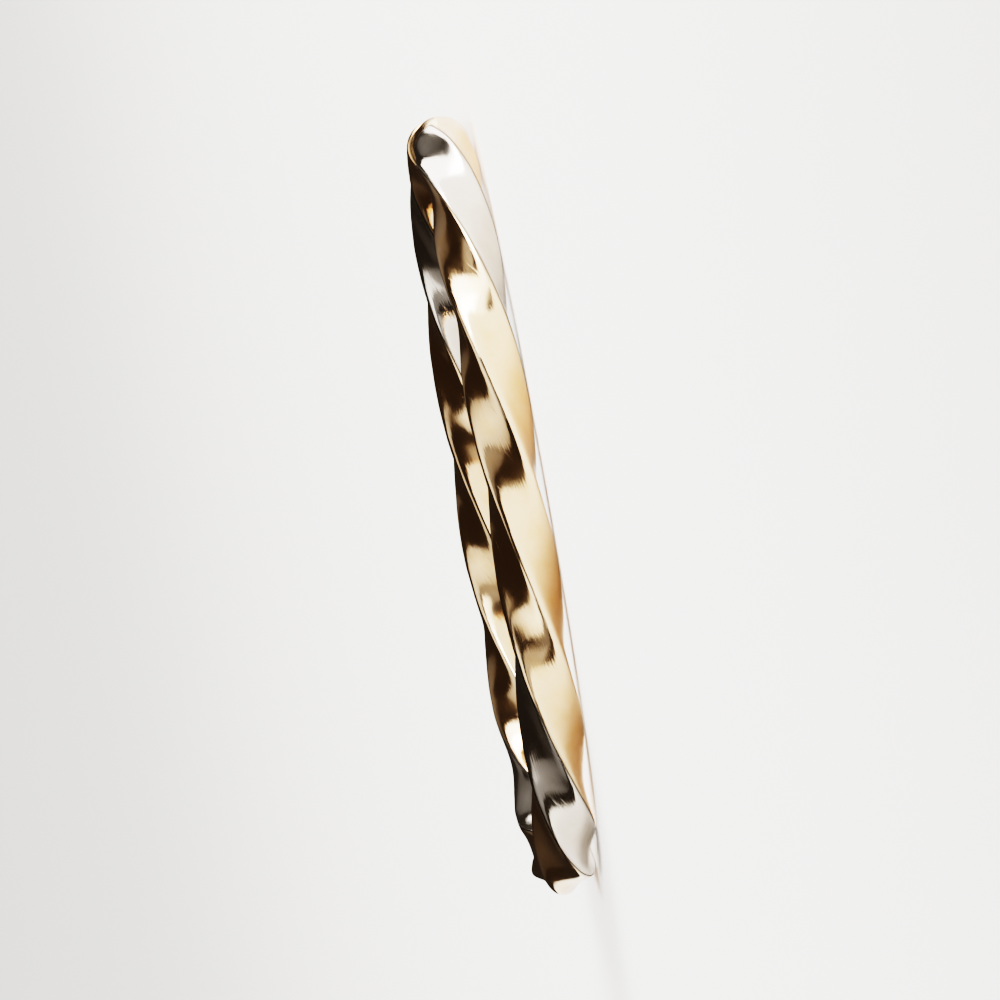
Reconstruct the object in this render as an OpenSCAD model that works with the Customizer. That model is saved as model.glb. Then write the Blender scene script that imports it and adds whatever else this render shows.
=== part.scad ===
// Twisted hoop earring, lying on its side with the hoop's axis upright.
// A square tube is twisted as it runs round the hoop. Three of its faces are yellow gold
// and one is a strand of white gold. A thin wire post bridges the gap for the ear.
// The origin is the centre of the hoop, on the surface that it lies on.
// The gap and its post are at +X.

/* [Hoop] */
// Outer diameter of the hoop
hoop_d = 36.5; // [30:0.5:60]
// Size of the square tube over two opposite corners
tube_d = 2.9; // [2.4:0.1:4]
// How sharp the corners are, where a low number gives round corners and rounder faces
corner_sharpness = 7; // [4:1:16]
// Angle of the gap between the tube's two ends
gap_angle = 25; // [20:1:40]

/* [Twist] */
// Turns that the tube would make round the whole circle
twist_turns = 3.35; // [1:0.05:8]
// Place on the hoop, measured from the post, where the white face looks outward
white_faces_out_at = 325; // [0:1:360]

/* [White strand] */
// Radius of the channel's floor, measured from the middle of the tube
channel_floor_r = 0.6; // [0.5:0.05:0.7]
// Gap between the white strand and its channel
strand_gap = 0.04; // [0.02:0.01:0.1]

/* [Ends of the tube] */
// Diameter of the round collar at each end
collar_d = 2.6; // [2.2:0.1:2.8]
// Length of each collar
collar_length = 1.2; // [1:0.1:2]
// Length over which the tube changes from round, at the collar, to square
square_run_in = 3; // [2:0.5:8]
// Rounding of the collar's edge
edge_round = 0.2; // [0.1:0.05:0.3]

/* [Ear post] */
// Diameter of the post's wire
post_d = 0.8; // [0.7:0.05:1]
// Depth to which the post enters each collar
post_depth = 0.9; // [0.5:0.1:0.9]
// Clearance round the post, and past its tip, in its socket
post_clearance = 0.06; // [0.04:0.01:0.1]

/* [Hidden] */
$fn = 64;

tube_r = tube_d / 2;
collar_r = collar_d / 2;
socket_r = post_d / 2 + post_clearance;
// Radius of the hoop's centre line
ring_r = (hoop_d - tube_d) / 2;
degrees_per_mm = 180 / (PI * ring_r);
// Straight facets across one face and across the channel, and degrees between sections
face_facets = 12;
floor_facets = 4;
section_step = 3;
// Length of the steep slope that closes the channel at each end
channel_slope = 0.05;
// How far the middle of a quarter round lies inside its corner
corner_cut = edge_round * (1 - cos(45));

// Places along the hoop, as angles from the middle of the post
end_at = gap_angle / 2;
collar_to = end_at + collar_length * degrees_per_mm;
channel_from = collar_to + channel_slope * degrees_per_mm;
strand_from = channel_from + strand_gap * degrees_per_mm;
socket_to = end_at + (post_depth + post_clearance) * degrees_per_mm;
post_to = end_at + post_depth * degrees_per_mm;

// Round sections of one end, each a place and a radius, from the floor of the post's
// socket to its mouth, and then over the collar
end_sections = [
    [socket_to, socket_r],
    [end_at, socket_r],
    [end_at, collar_r - edge_round],
    [end_at + corner_cut * degrees_per_mm, collar_r - corner_cut],
    [end_at + edge_round * degrees_per_mm, collar_r],
    [collar_to, collar_r]
];

// Smooth rise from 0 to 1 as x goes from 0 to 1
function ease(x) = let (t = min(max(x, 0), 1)) t * t * (3 - 2 * t);

// Distance along the tube from the nearer collar, at a place on the hoop
function from_collar(at) = (min(at, 360 - at) - collar_to) / degrees_per_mm;

// Radius of a square with soft corners, where turn is measured round the tube from the
// middle of the white face. It is the tube's full radius at each corner.
function square_r(turn) =
    let (sum = pow(abs(cos(turn)), corner_sharpness) + pow(abs(sin(turn)), corner_sharpness))
    tube_r * pow(sum * pow(2, corner_sharpness / 2 - 1), -1 / corner_sharpness);

// Radius of the tube's section, which changes from the collar's circle to the square
function section_r(turn, at) =
    collar_r + (square_r(turn) - collar_r) * ease(from_collar(at) / square_run_in);

// Angle round the tube, 0 outward and 90 up, of the white face at a place on the hoop.
// The faces climb as the place goes round, which makes the twist left-handed.
function white_face_at(at) = (at - white_faces_out_at) * twist_turns;

// Point of the tube at a place on the hoop, given as a turn from the white face and a radius
function tube_point(at, turn, r) =
    let (angle = white_face_at(at) + turn, reach = ring_r + r * cos(angle))
    [reach * cos(at), reach * sin(at), tube_r + r * sin(angle)];

// Turn of a wall that stands the strand's gap inside the white face's corner, at radius r
function wall_turn(r) = 45 - asin(strand_gap / r);

// Turns of the section's points: first over the yellow faces, then back across the channel
yellow_turns = [for (i = [0 : 3 * face_facets]) 45 + i * 90 / face_facets];
floor_turns = [for (i = [0 : floor_facets]) -45 + i * 90 / floor_facets];

// Section of the yellow body with the white strand's channel open
function channel_section(at) = concat(
    [for (turn = yellow_turns) tube_point(at, turn, section_r(turn, at))],
    [for (turn = floor_turns) tube_point(at, turn, channel_floor_r)]
);

// Round section with the same number of points. The channel's points draw together
// a little, so that none of them meets a yellow one.
function round_section(at, r) = concat(
    [for (turn = yellow_turns) tube_point(at, turn, r)],
    [for (turn = floor_turns) tube_point(at, turn * floor_facets / (floor_facets + 1), r)]
);

// Section of the white strand: over its face, then back along its floor
function strand_section(at) =
    let (
        floor_r = channel_floor_r + strand_gap,
        top = wall_turn(section_r(45, at)),
        bottom = wall_turn(floor_r)
    )
    concat(
        [for (i = [0 : face_facets])
            let (turn = -top + 2 * top * i / face_facets)
            tube_point(at, turn, section_r(turn, at))],
        [for (i = [0 : floor_facets])
            tube_point(at, bottom - 2 * bottom * i / floor_facets, floor_r)]
    );

// Places of the twisted sections, evenly spaced between two first and last places. The
// strand stops a gap before the channel does, and shares all the other places with it.
steps = ceil((360 - 2 * channel_from) / section_step);
function places(first) = [
    for (i = [0 : steps])
        i == 0 ? first :
        i == steps ? 360 - first :
        channel_from + (360 - 2 * channel_from) * i / steps
];

// Closed solid through a row of sections that all have the same number of points. Each patch
// between two sections is cut into triangles along one of its two diagonals. The strand takes
// the other one than the tube, because it goes round the seam the other way: so the facets on
// both sides of the seam are parallel, and the gap between them is even.
module skin(sections, other_diagonal = false) {
    count = len(sections[0]);
    last = len(sections) - 1;
    sides = [
        for (s = [0 : last - 1], i = [0 : count - 1])
            let (
                near = s * count + i,
                near_next = s * count + (i + 1) % count,
                far = near + count,
                far_next = near_next + count
            )
            each other_diagonal
                ? [[near, far, far_next], [near, far_next, near_next]]
                : [[near, far, near_next], [near_next, far, far_next]]
    ];
    start_cap = [for (i = [0 : count - 1]) i];
    end_cap = [for (i = [count - 1 : -1 : 0]) last * count + i];
    polyhedron(
        points = [for (section = sections) each section],
        faces = concat([start_cap], sides, [end_cap]),
        convexity = 8
    );
}

// Yellow gold: three faces, the core under the fourth, and a collar at each end
module twisted_tube() {
    last = len(end_sections) - 1;
    color("goldenrod")
        skin(concat(
            [for (end = end_sections) round_section(end[0], end[1])],
            [for (at = places(channel_from)) channel_section(at)],
            [for (i = [last : -1 : 0])
                round_section(360 - end_sections[i][0], end_sections[i][1])]
        ));
}

// White gold: the fourth face, a strand lying in the channel
module white_strand() {
    color("gainsboro")
        skin([for (at = places(strand_from)) strand_section(at)], other_diagonal = true);
}

// Thin wire that bridges the gap on the hoop's own circle, with a tip in each socket
module ear_post() {
    color("goldenrod")
        translate([0, 0, tube_r])
        rotate([0, 0, -post_to])
        rotate_extrude(angle = 2 * post_to)
        translate([ring_r, 0])
        circle(d = post_d);
}

twisted_tube();
white_strand();
ear_post();
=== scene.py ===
import math

import bpy
import numpy as np
from mathutils import Matrix, Vector


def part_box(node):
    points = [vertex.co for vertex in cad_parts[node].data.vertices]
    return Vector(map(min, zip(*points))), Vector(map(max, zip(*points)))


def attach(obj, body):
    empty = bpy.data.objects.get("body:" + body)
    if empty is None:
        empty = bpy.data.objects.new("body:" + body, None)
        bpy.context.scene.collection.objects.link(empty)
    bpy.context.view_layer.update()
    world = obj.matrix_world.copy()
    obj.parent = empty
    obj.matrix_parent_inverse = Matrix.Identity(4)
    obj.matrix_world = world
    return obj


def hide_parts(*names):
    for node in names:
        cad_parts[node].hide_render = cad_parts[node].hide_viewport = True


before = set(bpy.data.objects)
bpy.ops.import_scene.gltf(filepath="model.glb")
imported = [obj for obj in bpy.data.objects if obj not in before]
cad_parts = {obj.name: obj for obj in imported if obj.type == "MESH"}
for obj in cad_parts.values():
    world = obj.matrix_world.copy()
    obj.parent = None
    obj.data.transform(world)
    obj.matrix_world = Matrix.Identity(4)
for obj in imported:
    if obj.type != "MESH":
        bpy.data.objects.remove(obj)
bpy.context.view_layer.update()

# Twisted hoop earring, lying on its side: a square tube twisted round a hoop, with three faces
# of yellow gold and one of white gold, and a wire post across its gap. Metres, in the model's
# frame: the hoop's circle is round the Z axis, the post is at +X and the floor is at z = 0.

MM = 0.001
FULL_TURN = 2 * math.pi
HALF_FACE = math.pi / 4

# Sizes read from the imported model. The tube rests on the floor, and the post's wire follows the
# hoop's circle. The reach is the place of the post's tip, which lies 0.04 mm deeper in the
# socket than the solid's and is still clear of the socket's floor.
tube_low, tube_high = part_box("twisted_tube")
post_low, post_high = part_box("ear_post")
TUBE_R = (tube_high.z - tube_low.z) / 2
POST_R = (post_high.z - post_low.z) / 2
RING_R = post_high.x - POST_R
CENTRE_Z = (tube_high.z + tube_low.z) / 2
POST_REACH = math.atan2(post_high.y, RING_R - POST_R)

# The square and its twist, as in the solids. A place on the hoop is an angle from the middle of
# the post, and the twist's turns are those in a whole circle.
CORNER_SHARPNESS = 7
TWIST_TURNS = 3.35
WHITE_FACES_OUT_AT = math.radians(325)

# The white strand and its channel
CHANNEL_FLOOR_R = 0.6 * MM
STRAND_GAP = 0.04 * MM

# The tube's ends: half the gap, then a round collar, then the change to the square
END_AT = math.radians(12.5)
COLLAR_R = 1.3 * MM
COLLAR_LENGTH = 1.2 * MM
SQUARE_RUN_IN = 3 * MM
EDGE_ROUND = 0.2 * MM
CHANNEL_SLOPE = 0.05 * MM
SOCKET_DEPTH = 0.96 * MM
SOCKET_R = POST_R + 0.06 * MM
TIP_ROUND = 0.12 * MM

COLLAR_TO = END_AT + COLLAR_LENGTH / RING_R
CHANNEL_FROM = COLLAR_TO + CHANNEL_SLOPE / RING_R
STRAND_FROM = CHANNEL_FROM + STRAND_GAP / RING_R

# Slow waves that twisting and buffing leave in the faces. Each has a length along the hoop, a
# number of waves round the tube, a height to each side of its middle, and a start as an angle.
WAVES = [
    (4.1 * MM, 1, 0.006 * MM, 0.4),
    (2.3 * MM, -2, 0.004 * MM, 2.1),
    (1.3 * MM, 3, 0.002 * MM, 4.0),
]

# Marks on the metal: the power by which wear falls off from a corner, and the turn over which
# the dark trace beside a seam, dark polish with painted shade in the crevice, fades out
WEAR_SHARPNESS = 12
SEAM_WIDTH = 0.08

# Fineness of the surfaces: sections along the long pieces and their ends, and steps round them
TUBE_SECTIONS = 1100
SOCKET_SECTIONS = 6
EDGE_SECTIONS = 8
COLLAR_SECTIONS = 11
POST_SECTIONS = 120
TIP_SECTIONS = 7
FACE_STEPS = 24
CHANNEL_STEPS = 6
POST_STEPS = 48

# The part of a step across a face that is even, where the rest draws the points toward the
# corners, and the angle between two facets from which their edge stays sharp
EVEN_SHARE = 0.45
SHARP_FROM = math.radians(40)


def ease(x):
    """Smooth rise from 0 to 1 as x goes from 0 to 1: three x squared less two x cubed."""
    t = np.clip(x, 0, 1)
    return t * t * (3 - 2 * t)


def from_collar(at):
    """Distance along the hoop from the nearer collar, which is negative on the collars."""
    return (np.minimum(at, FULL_TURN - at) - COLLAR_TO) * RING_R


def squareness(distance):
    """0 on the collars, rising smoothly to 1 where the tube's section is the full square."""
    return ease(distance / SQUARE_RUN_IN)


def square_r(turn):
    """Radius of a square with soft corners. The sharpness is a power: the cosine and the sine
    of the turn are raised to it and added, and the sum goes to one over less the power."""
    total = np.abs(np.cos(turn)) ** CORNER_SHARPNESS + np.abs(np.sin(turn)) ** CORNER_SHARPNESS
    return TUBE_R * (total * 2 ** (CORNER_SHARPNESS / 2 - 1)) ** (-1 / CORNER_SHARPNESS)


def waves(turn, at):
    """Sum of the slow waves: each is a sine of the way along the hoop and of the turn, less
    its height, so that no wave stands proud of the square."""
    total = 0
    for length, count, height, start in WAVES:
        way = FULL_TURN * at * RING_R / length
        total = total + height * (np.sin(way + count * turn + start) - 1)
    return total


def section_r(turn, at):
    """Radius of the tube's section: it changes from the collar's circle to the waved square
    as the distance from the collar grows."""
    square = square_r(turn) + waves(turn, at)
    return COLLAR_R + (square - COLLAR_R) * squareness(from_collar(at))


def hoop_points(at, angle, r):
    """Points round the hoop's circle: in the section at a place on the hoop, the radius is
    turned by the angle, from pointing outward towards pointing up."""
    reach = RING_R + r * np.cos(angle)
    return np.stack([reach * np.cos(at), reach * np.sin(at), CENTRE_Z + r * np.sin(angle)], -1)


def tube_points(at, turn, r):
    """Points round the hoop's circle, given by the turn from the middle of the white face. That
    face itself turns with the place, by the twist's turns for each turn of the hoop."""
    return hoop_points(at, (at - WHITE_FACES_OUT_AT) * TWIST_TURNS + turn, r)


def face_turns(first, last, faces):
    """Turns across some faces, closer together at the corners than at the middles: in each
    face the step is partly even and partly follows a cosine."""
    even = np.linspace(0, 1, FACE_STEPS + 1)
    share = EVEN_SHARE * even + (1 - EVEN_SHARE) * (1 - np.cos(math.pi * even)) / 2
    turns = [first + (last - first) * (k + share[:-1]) / faces for k in range(faces)]
    return np.append(np.concatenate(turns), last)


def near_corner(turn):
    """1 on the square's corners, falling to 0 within a quarter of a face: a power of the
    sine of twice the turn."""
    return np.abs(np.sin(2 * turn)) ** WEAR_SHARPNESS


def near_seam(turn):
    """1 where the yellow meets the white, at an eighth of a turn from the middle of the white
    face, falling evenly to 0 over the seam's width on both sides of it."""
    off = np.abs(np.abs((turn + math.pi) % FULL_TURN - math.pi) - HALF_FACE)
    return np.clip(1 - off / SEAM_WIDTH, 0, 1)


def closed_mesh(name, points, across, along, marks):
    """Closed surface through a grid of sections, with a flat cap at each end. Its UV map holds
    the distance round and along in millimetres, so that polishing lines follow the tube, and
    the caps are mapped from above. The marks become attributes, each with a value for every
    point."""
    rows, count = points.shape[:2]
    row, spot = np.meshgrid(np.arange(rows - 1), np.arange(count), indexing="ij")
    after = (spot + 1) % count
    quads = np.stack([row * count + spot, (row + 1) * count + spot, (row + 1) * count + after,
                      row * count + after], -1).reshape(-1, 4)
    last = (rows - 1) * count
    caps = [list(range(count)), list(range(last + count - 1, last - 1, -1))]
    mesh = bpy.data.meshes.new(name)
    mesh.from_pydata(points.reshape(-1, 3), [], quads.tolist() + caps)

    round_to = np.append(across, across[-1] + across[1] - across[0])
    u = np.stack([round_to[spot], round_to[spot], round_to[spot + 1], round_to[spot + 1]], -1)
    v = np.stack([along[row], along[row + 1], along[row + 1], along[row]], -1)
    side = np.stack([u, v], -1).reshape(-1, 2)
    cap = np.concatenate([points[0], points[-1][::-1]])[:, :2]
    layer = mesh.uv_layers.new(name="along_tube_mm")
    layer.uv.foreach_set("vector", (np.concatenate([side, cap]) / MM).astype(np.float32).ravel())
    for mark, values in marks.items():
        spread = np.broadcast_to(values, (rows, count)).astype(np.float32)
        mesh.attributes.new(mark, "FLOAT", "POINT").data.foreach_set("value", spread.ravel())
    mesh.shade_smooth()
    mesh.set_sharp_from_angle(angle=SHARP_FROM)
    return mesh


def yellow_tube():
    """Profile carried along the hoop: three faces and the channel's floor, between two round
    ends that each run from the socket's floor out over the collar. Wear and the painted shade
    along the seams stay off those ends."""
    over = face_turns(HALF_FACE, FULL_TURN - HALF_FACE, 3)
    channel = np.linspace(-HALF_FACE, HALF_FACE, CHANNEL_STEPS + 1)
    at = np.linspace(CHANNEL_FROM, FULL_TURN - CHANNEL_FROM, TUBE_SECTIONS)[:, None]
    body = np.concatenate([
        tube_points(at, over, section_r(over, at)),
        tube_points(at, channel, CHANNEL_FLOOR_R),
    ], 1)

    # One end, as places and radii: the socket, the mouth's rounded edge and the collar. The
    # channel's points draw together a little, so that none of them meets a yellow one.
    bend = np.linspace(0, math.pi / 2, EDGE_SECTIONS)
    edge = END_AT + EDGE_ROUND / RING_R
    way = np.concatenate([
        np.linspace(END_AT + SOCKET_DEPTH / RING_R, END_AT, SOCKET_SECTIONS),
        END_AT + EDGE_ROUND * (1 - np.cos(bend)) / RING_R,
        np.linspace(edge, COLLAR_TO, COLLAR_SECTIONS + 1)[1:],
    ])
    radius = np.concatenate([
        np.full(SOCKET_SECTIONS, SOCKET_R),
        COLLAR_R - EDGE_ROUND * (1 - np.sin(bend)),
        np.full(COLLAR_SECTIONS, COLLAR_R),
    ])
    turns = np.append(over, channel * CHANNEL_STEPS / (CHANNEL_STEPS + 1))
    start = tube_points(way[:, None], turns, radius[:, None])
    end = tube_points(FULL_TURN - way[::-1, None], turns, radius[::-1, None])

    across = np.append(over, channel + FULL_TURN) * TUBE_R
    places = np.concatenate([way, at[:, 0], FULL_TURN - way[::-1]])
    beyond = from_collar(places)[:, None]
    marks = {
        "corner": np.append(near_corner(over), np.zeros(channel.size)) * squareness(beyond),
        # Painted shade: the seam mark is full over the channel's floor under the strand, which
        # darkens it
        "seam": np.append(near_seam(over), np.ones(channel.size)) * (beyond > 0),
    }
    return closed_mesh("yellow_gold_tube", np.concatenate([start, body, end]), across,
                       places * RING_R, marks)


def white_strand():
    """Profile carried along the hoop: over the white face, then back along its own floor, which
    lies one gap above the channel's. Each side keeps off the seam by the turn whose sine is the
    gap over the radius there, so the gap is the same from top to bottom."""
    at = np.linspace(STRAND_FROM, FULL_TURN - STRAND_FROM, TUBE_SECTIONS)[:, None]
    floor_r = CHANNEL_FLOOR_R + STRAND_GAP
    top = HALF_FACE - np.arcsin(STRAND_GAP / section_r(HALF_FACE, at))
    bottom = HALF_FACE - math.asin(STRAND_GAP / floor_r)
    share = face_turns(-1, 1, 1)
    over = tube_points(at, top * share, section_r(top * share, at))
    back = np.linspace(bottom, -bottom, CHANNEL_STEPS + 1)
    under = tube_points(at, back, floor_r)
    across = np.append(share * HALF_FACE, math.pi - back) * TUBE_R
    squared = squareness(from_collar(at))
    marks = {
        "corner": np.append(near_corner(share * HALF_FACE), np.zeros(back.size)) * squared,
        # Painted shade: the seam mark is full over the strand's underside, which darkens it
        "seam": np.append(near_seam(share * HALF_FACE), np.ones(back.size)),
    }
    return closed_mesh("white_gold_strand", np.concatenate([over, under], 1), across,
                       at[:, 0] * RING_R, marks)


def ear_post():
    """Circle carried along the hoop's own arc, with each tip rounded as a quarter circle."""
    bend = np.linspace(0, math.pi / 2, TIP_SECTIONS)
    rise = POST_REACH - TIP_ROUND * (1 - np.sin(bend)) / RING_R
    shaft = np.linspace(-rise[-1], rise[-1], POST_SECTIONS)[1:-1]
    way = np.sort(np.concatenate([-rise, shaft, rise]))
    from_tip = (POST_REACH - np.abs(way)) * RING_R
    into = np.clip(1 - from_tip / TIP_ROUND, 0, 1)
    radius = POST_R - TIP_ROUND * (1 - np.sqrt(1 - into ** 2))
    turns = np.linspace(0, FULL_TURN, POST_STEPS + 1)[:-1]
    points = hoop_points(way[:, None], turns, radius[:, None])
    return closed_mesh("ear_wire_post", points, turns * POST_R, way * RING_R, {})


def linear(hex_colour):
    """Linear colour, with alpha, of an sRGB hex value."""
    values = [int(hex_colour[i:i + 2], 16) / 255 for i in (0, 2, 4)]
    return [v / 12.92 if v <= 0.04045 else ((v + 0.055) / 1.055) ** 2.4 for v in values] + [1]


def add_node(tree, kind, settings, sockets, links, output=0):
    """Adds one node with its settings, its sockets' values and its links from other nodes'
    outputs, and returns one of its own outputs. Sockets go by name or number."""
    node = tree.nodes.new(kind)
    for name, value in settings.items():
        setattr(node, name, value)
    for socket, value in sockets.items():
        node.inputs[socket].default_value = value
    for socket, source in links.items():
        tree.links.new(source, node.inputs[socket])
    return node.outputs[output]


# Sockets that share their names with others: those of a Math node, which multiplies the first
# two and may add the third, and a Mix node's two colours and its mixed colour
VALUE, TIMES, PLUS = 0, 1, 2
COLOUR, OTHER_COLOUR, MIXED_COLOUR = 6, 7, 2

# Marks of polishing, in millimetres. Real buffing lines and scratches are about a hundredth of
# a millimetre wide, and these are drawn wider so that they show. The scratches cross the lines.
LINE_APART, LINE_LENGTH = 0.08, 2.0
SCRATCH_APART, SCRATCH_LENGTH, SCRATCH_TURN = 0.25, 3.0, math.radians(24)
PATCH_SIZE = 1.1

# Shares of the metal's own roughness: in bright and dull patches, and added by the marks
BRIGHT_PATCH = 0.7
DULL_PATCH = 1.5
LINES_ADD = 0.5
SCRATCHES_ADD = 1
WEAR_ADDS = -0.6

# Colour of the polish left along the seams, which also paints shade into them and onto the
# channel's floor, and the roughness that the polish adds to either metal
DARK_POLISH_AND_SHADE = "6E5B45"
DARK_POLISH_ADDS = 0.2

# Shares of the other colour in dull patches, on worn corners and along the seams, where it is
# dark polish and painted shade
DULL_TINT = 0.7
WORN_TINT = 0.6
DARK_TINT = 0.7

# Depth of the scratches, as a share of the lines' height
SCRATCH_DEPTH = 0.5


def polished_metal(name, colour, dull_colour, worn_colour, rough, line_height):
    """Metal buffed on a wheel, or drawn and then rubbed. Hair lines follow the tube or wire, and
    a few scratches cross them. Broad patches are a little duller and deeper in colour. The
    corners are rubbed smoother and paler in places, and along the seams a trace of dark polish
    is painted, with painted shade in the crevice. The wire carries no marks for corners or
    seams, so it has neither."""
    material = bpy.data.materials.new(name)
    material.use_nodes = True
    tree = material.node_tree
    shader = tree.nodes["Principled BSDF"]
    shader.inputs["Metallic"].default_value = 1

    # Patterns, on the tube's own millimetres and on its marks. Noise lies round 0.5, and only
    # its peaks are scratches. Wear is broken up by the patches.
    place = add_node(tree, "ShaderNodeUVMap", {"uv_map": "along_tube_mm"}, {}, {})
    streaks = []
    for apart, length, turn in ((LINE_APART, LINE_LENGTH, 0),
                                (SCRATCH_APART, SCRATCH_LENGTH, SCRATCH_TURN)):
        turned = add_node(tree, "ShaderNodeMapping", {}, {"Rotation": (0, 0, turn)},
                          {"Vector": place})
        drawn_out = add_node(tree, "ShaderNodeMapping", {}, {"Scale": (1 / apart, 1 / length, 1)},
                             {"Vector": turned})
        streaks.append(add_node(tree, "ShaderNodeTexNoise", {}, {"Scale": 1, "Detail": 3},
                                {"Vector": drawn_out}))
    lines, crossing = streaks
    scratches = add_node(tree, "ShaderNodeMapRange", {}, {"From Min": 0.64, "From Max": 0.7},
                         {"Value": crossing})
    patches = add_node(tree, "ShaderNodeTexNoise", {}, {"Scale": 1 / PATCH_SIZE, "Detail": 2},
                       {"Vector": place})
    corner = add_node(tree, "ShaderNodeAttribute", {"attribute_name": "corner"}, {}, {}, "Fac")
    seam = add_node(tree, "ShaderNodeAttribute", {"attribute_name": "seam"}, {}, {}, "Fac")
    broken = add_node(tree, "ShaderNodeMapRange", {},
                      {"From Min": 0.35, "From Max": 0.6, "To Min": 0.2}, {"Value": patches})
    wear = add_node(tree, "ShaderNodeMath", {"operation": "MULTIPLY"}, {},
                    {VALUE: corner, TIMES: broken})

    # Roughness, from the patches, with each of the other patterns added by its share
    roughness = add_node(tree, "ShaderNodeMapRange", {},
                         {"From Min": 0.35, "From Max": 0.7, "To Min": rough * BRIGHT_PATCH,
                          "To Max": rough * DULL_PATCH}, {"Value": patches})
    for pattern, share in ((lines, rough * LINES_ADD), (scratches, rough * SCRATCHES_ADD),
                           (wear, rough * WEAR_ADDS), (seam, DARK_POLISH_ADDS)):
        roughness = add_node(tree, "ShaderNodeMath", {"operation": "MULTIPLY_ADD"},
                             {TIMES: share}, {VALUE: pattern, PLUS: roughness})
    tree.links.new(roughness, shader.inputs["Roughness"])

    # Colour, deeper in the duller patches, then paler with wear, and dark at the seams with dark
    # polish and painted shade
    deeper = add_node(tree, "ShaderNodeMapRange", {},
                      {"From Min": 0.4, "From Max": 0.75, "To Max": DULL_TINT},
                      {"Value": patches})
    base = add_node(tree, "ShaderNodeMix", {"data_type": "RGBA"},
                    {COLOUR: linear(colour), OTHER_COLOUR: linear(dull_colour)},
                    {"Factor": deeper}, MIXED_COLOUR)
    # The seam's dark colour paints shade into the crevices beside the strand, together with dark
    # polish
    for mark, share, other in ((wear, WORN_TINT, worn_colour), (seam, DARK_TINT, DARK_POLISH_AND_SHADE)):
        part = add_node(tree, "ShaderNodeMath", {"operation": "MULTIPLY"}, {TIMES: share},
                        {VALUE: mark})
        base = add_node(tree, "ShaderNodeMix", {"data_type": "RGBA"},
                        {OTHER_COLOUR: linear(other)}, {"Factor": part, COLOUR: base},
                        MIXED_COLOUR)
    tree.links.new(base, shader.inputs["Base Color"])

    # Relief: the lines stand up and the scratches are cut in
    height = add_node(tree, "ShaderNodeMath", {"operation": "MULTIPLY_ADD"},
                      {TIMES: -SCRATCH_DEPTH}, {VALUE: scratches, PLUS: lines})
    relief = add_node(tree, "ShaderNodeBump", {}, {"Strength": 1, "Distance": line_height},
                      {"Height": height})
    tree.links.new(relief, shader.inputs["Normal"])
    return material


def add_object(name, data):
    """Puts the data in the scene as an object at the origin."""
    thing = bpy.data.objects.new(name, data)
    bpy.context.scene.collection.objects.link(thing)
    return thing


def add_piece(mesh, material, node):
    """Puts the piece in the scene, in place of its CAD node."""
    mesh.materials.append(material)
    piece = add_object(mesh.name, mesh)
    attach(piece, "root")
    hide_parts(node)


# Roughness and height of the hair lines that each way of working leaves
BUFFED = 0.105, 0.0035 * MM
DRAWN = 0.2, 0.004 * MM

# Yellow gold of 14 carat, twisted from square tube and buffed on a wheel: warm and mirror
# bright, with soft waves
gold = polished_metal("polished_yellow_gold", "F9D1A6", "EFC08A", "FFE6C6", *BUFFED)
# White gold without plating, buffed the same way: mirror bright and grey, with a warm tint
white = polished_metal("polished_white_gold", "DFD3C6", "CFC2B1", "EFE8DF", *BUFFED)
# Yellow gold wire, drawn through a die and rubbed smooth: a softer shine, with lines along it
wire = polished_metal("drawn_gold_wire", "F4CB9C", "E9B981", "FFE6C6", *DRAWN)
add_piece(yellow_tube(), gold, "twisted_tube")
add_piece(white_strand(), white, "white_strand")
add_piece(ear_post(), wire, "ear_post")

# The studio: half the floor's side, how far the lights stand, and the angle of an open softbox
FLOOR_HALF = 2.0
SOFTBOX_AWAY = 0.6
FLOOR_LIGHT_AWAY = 5
NO_GRID = 180


def build_floor():
    """Flat square of matte white card under the hoop: pale and even, with no shine."""
    mesh = bpy.data.meshes.new("floor")
    corners = [(-1, -1), (1, -1), (1, 1), (-1, 1)]
    mesh.from_pydata([(x * FLOOR_HALF, y * FLOOR_HALF, 0) for x, y in corners], [],
                     [(0, 1, 2, 3)])
    floor = add_object("floor", mesh)
    material = bpy.data.materials.new("matte_white_card")
    material.use_nodes = True
    shader = material.node_tree.nodes["Principled BSDF"]
    shader.inputs["Base Color"].default_value = linear("E9E7E3")
    shader.inputs["Roughness"].default_value = 0.9
    mesh.materials.append(material)
    return floor


def softbox(name, azimuth, elevation, width, height, radiance, grid=NO_GRID, away=SOFTBOX_AWAY):
    """Soft light aimed at the hoop, in degrees and metres. Azimuth 0 is at -Y and 90 at +X. Its
    power gives the middle of its face the stated brightness: pi times brightness times area. A
    grid on it, given as an angle, lets the brightness fall off evenly from the middle. The
    power is then multiplied by the tangent of half the angle, less half the angle, over the
    tangent."""
    light = bpy.data.lights.new(name, "AREA")
    light.shape = "RECTANGLE"
    light.size, light.size_y = width, height
    light.energy = math.pi * radiance * width * height
    if grid < NO_GRID:
        half = math.radians(grid / 2)
        light.spread = 2 * half
        light.energy *= (math.tan(half) - half) / math.tan(half)
    lamp = add_object(name, light)
    a, e = math.radians(azimuth), math.radians(elevation)
    back = Vector((math.sin(a) * math.cos(e), -math.cos(a) * math.cos(e), math.sin(e)))
    lamp.location = back * away
    lamp.rotation_euler = back.to_track_quat("Z", "Y").to_euler()
    return lamp


floor = build_floor()

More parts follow.
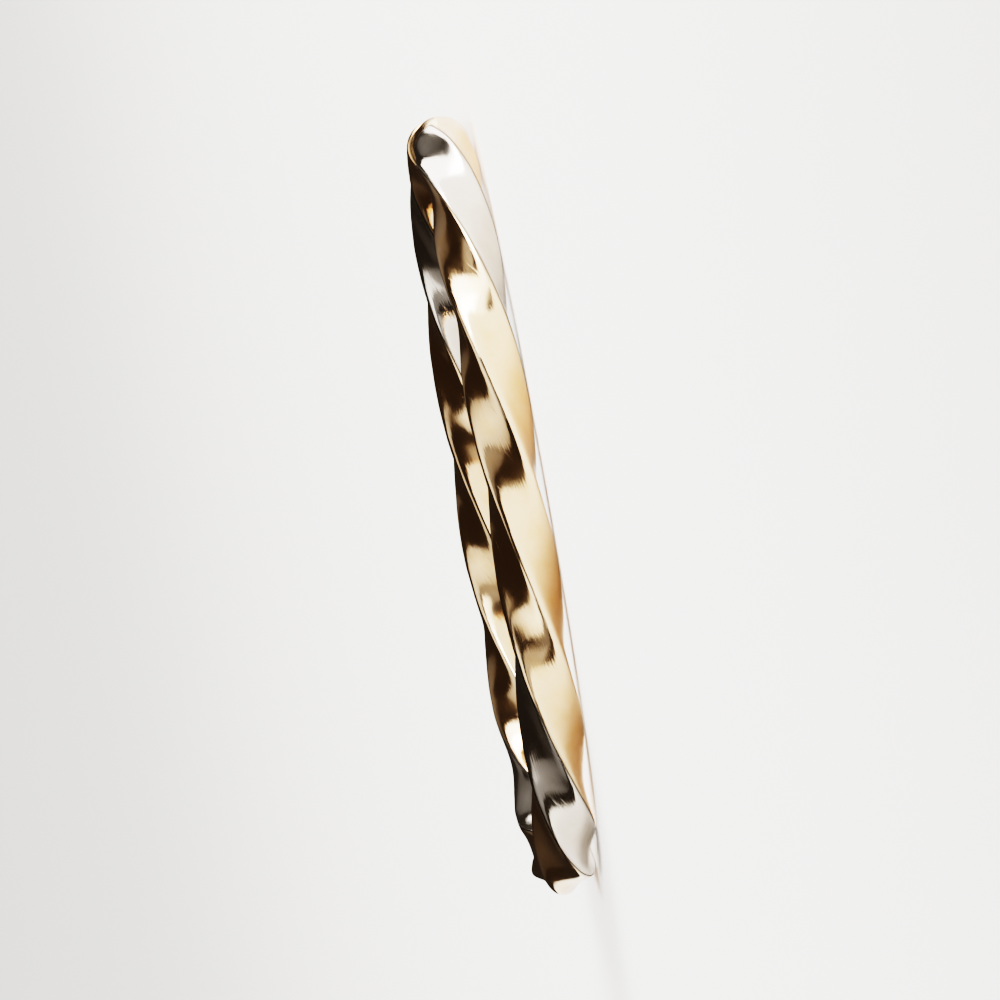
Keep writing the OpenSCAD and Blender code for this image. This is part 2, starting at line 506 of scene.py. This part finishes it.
# Softboxes round the hoop: name, azimuth, elevation, width, height, brightness and, on most of
# them, a grid. The key lights stand beyond the post, which is the top of the picture.
for box in (
    ("key_wide", 82, 15, 0.75, 0.37, 8.0, 80),
    ("key_strip", 86, 9, 0.56, 0.13, 16.0),
    ("right_soft", 36, 30, 0.44, 0.28, 0.4, 60),
    ("front_low", -32, 9, 0.44, 0.17, 0.5),
    ("front_high", -60, 42, 0.48, 0.28, 2.2, 60),
    ("fill_down", -80, 30, 0.7, 0.34, 0.4, 80),
    ("top_front", 40, 62, 0.7, 0.44, 1.4, 80),
    ("back_strip", 130, 9, 0.44, 0.19, 3.6),
    ("back_right", 150, 34, 0.48, 0.28, 0.2, 60),
    ("back_left", -140, 30, 0.5, 0.34, 0.05, 60),
):
    softbox(*box)

# Two large softboxes that light the floor alone. The first passes through the hoop and keeps
# the floor pale, and the second gives the hoop its soft shadow.
over_all = softbox("floor_soft", 0, 88, 8, 8, 1.25, away=FLOOR_LIGHT_AWAY)
over_edge = softbox("floor_shadow", 0, 88, 4, 4, 4.2, away=FLOOR_LIGHT_AWAY)
only_floor = bpy.data.collections.new("floor_only")
only_floor.objects.link(floor)
over_all.light_linking.receiver_collection = only_floor
over_all.light_linking.blocker_collection = only_floor
over_edge.light_linking.receiver_collection = only_floor

# Dim warm surroundings, and the steep tones of a bright product picture
world = bpy.data.worlds.new("studio")
world.use_nodes = True
world.node_tree.nodes["Background"].inputs["Color"].default_value = (0.04, 0.034, 0.028, 1)
bpy.context.scene.world = world
tones = bpy.context.scene.view_settings
tones.view_transform = "Filmic"
tones.look = "Very High Contrast"
tones.exposure = 0

# Camera: the photograph's view of the hoop, nearly along its plane, with the post at the top
# and the hoop leaning to the left. The field is the width that the picture takes in.
CAMERA_AWAY = 1.2
FIELD = 45.5 * MM
ABOVE_PLANE = math.radians(2.3)
LEAN = math.radians(9.9)


def build_camera():
    """Long lens at the photograph's angle, rolled so that +X points up in the picture."""
    data = bpy.data.cameras.new("camera")
    data.sensor_width = 36
    data.lens = data.sensor_width * CAMERA_AWAY / FIELD
    data.clip_start = 0.05
    data.clip_end = 20
    camera = add_object("camera", data)
    back = Vector((0, -math.cos(ABOVE_PLANE), math.sin(ABOVE_PLANE)))
    above = Vector((0, math.sin(ABOVE_PLANE), math.cos(ABOVE_PLANE)))
    along = Vector((1, 0, 0))
    up = along * math.cos(LEAN) - above * math.sin(LEAN)
    right = -above * math.cos(LEAN) - along * math.sin(LEAN)
    turned = Matrix((right, up, back)).transposed().to_4x4()
    middle = Vector((0, 0, CENTRE_Z))
    camera.matrix_world = Matrix.Translation(middle + back * CAMERA_AWAY) @ turned
    bpy.context.scene.camera = camera


build_camera()
